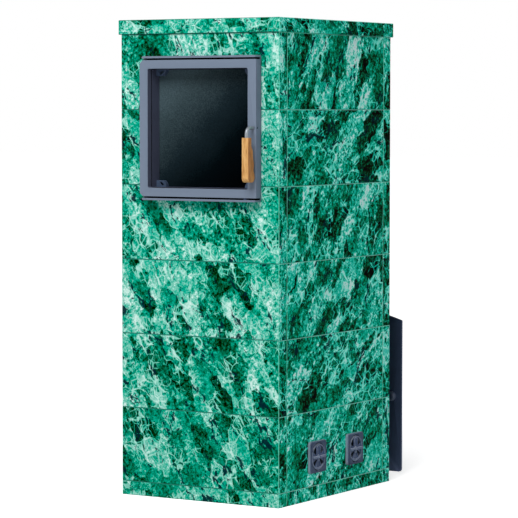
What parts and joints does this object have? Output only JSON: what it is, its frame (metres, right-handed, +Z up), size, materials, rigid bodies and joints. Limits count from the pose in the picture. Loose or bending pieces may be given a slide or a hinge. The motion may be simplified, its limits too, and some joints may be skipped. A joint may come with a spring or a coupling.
{
  "type": "sauna stove",
  "caption": "Wood-fired sauna stove in a green stone slab casing, with a glazed steam door, turning air vents and a rear fuel tunnel with fire door and ash drawer.",
  "frame": {"origin": "middle of the casing's base plate, on the floor", "axes": "+Z up, -Y out of the steam door at the front, +Y along the fuel tunnel at the rear, +X to the side with the air vents"},
  "size_m": [0.4588, 0.7602, 1.146],
  "materials": {
    "stone": "gloss",
    "grey_enamel": "satin",
    "inner_steel": "satin",
    "vent_iron": "satin",
    "black_iron": "matte",
    "bright_steel": "polished",
    "grip_wood": "satin",
    "door_glass": "gloss",
    "seal_rope": "matte"
  },
  "bodies": {
    "casing": {"base_plate": "inner_steel", "corner_posts": "inner_steel", "top_ring": "inner_steel", "plinth_strips": "stone", "front_slab_1": "stone", "front_slab_2": "stone", "front_slab_3": "stone", "front_slab_4": "stone", "front_slab_5": "stone", "front_slab_6": "stone", "right_slab_1": "stone", "right_slab_2": "stone", "right_slab_3": "stone", "right_slab_4": "stone", "right_slab_5": "stone", "right_slab_6": "stone", "rear_slab_1": "stone", "rear_slab_2": "stone", "rear_slab_3": "stone", "rear_slab_4": "stone", "rear_slab_5": "stone", "rear_slab_6": "stone", "left_slabs": "stone", "cap_slab": "stone", "firebox": "inner_steel", "stove_legs": "inner_steel", "fire_grate": "black_iron", "baffle_plate": "inner_steel", "fuel_tunnel": "inner_steel", "stone_chamber": "inner_steel", "smoke_channel": "inner_steel", "flue_collar": "inner_steel", "portal_plate": "inner_steel", "portal_bolts": "black_iron", "fire_hinge_pins": "bright_steel", "steam_portal": "grey_enamel", "door_seal": "seal_rope", "door_hinge_pins": "bright_steel", "door_rest_pad": "black_iron", "vent_plate_front": "vent_iron", "vent_plate_rear": "vent_iron", "vent_rivets": "bright_steel"},
    "steam_door": {"steam_door_frame": "grey_enamel", "glass_carrier": "grey_enamel", "steam_glass": "door_glass", "glass_gasket": "seal_rope", "glass_clips": "black_iron", "clip_screws": "bright_steel", "lever_bush": "bright_steel", "bush_screw": "bright_steel"},
    "steam_lever": {"handle_rod": "bright_steel", "latch_finger": "bright_steel", "handle_grip": "grip_wood"},
    "vent_wheel_front": {"vent_wheel_front": "vent_iron"},
    "vent_wheel_rear": {"vent_wheel_rear": "vent_iron"},
    "fire_door": {"fire_door": "black_iron", "fire_door_glass": "door_glass"},
    "fire_lever": {"fire_lever": "bright_steel"},
    "ash_drawer": {"ash_drawer": "inner_steel"}
  },
  "joints": [
    {"name": "steam_door_hinge", "type": "hinge", "parent": "casing", "child": "steam_door", "pos_m": [-0.141, -0.284, 0.8826], "axis": [0, 0, -1], "range_deg": [0, 105]},
    {"name": "steam_lever_turn", "type": "hinge", "parent": "steam_door", "child": "steam_lever", "pos_m": [0.1657, -0.285, 0.8845], "axis": [0, -1, 0], "range_deg": [0, 35]},
    {"name": "vent_front_turn", "type": "hinge", "parent": "casing", "child": "vent_wheel_front", "pos_m": [0.227, -0.096, 0.103], "axis": [1, 0, 0], "range_deg": [0, 45]},
    {"name": "vent_rear_turn", "type": "hinge", "parent": "casing", "child": "vent_wheel_rear", "pos_m": [0.227, 0.083, 0.103], "axis": [1, 0, 0], "range_deg": [0, 45]},
    {"name": "fire_door_hinge", "type": "hinge", "parent": "casing", "child": "fire_door", "pos_m": [-0.13, 0.391, 0.278], "axis": [0, 0, 1], "range_deg": [0, 110]},
    {"name": "fire_lever_turn", "type": "hinge", "parent": "fire_door", "child": "fire_lever", "pos_m": [0.092, 0.39, 0.2775], "axis": [0, -1, 0], "range_deg": [0, 90]},
    {"name": "ash_drawer_slide", "type": "slide", "parent": "casing", "child": "ash_drawer", "axis": [0, 1, 0], "range_m": [0, 0.36]}
  ]
}
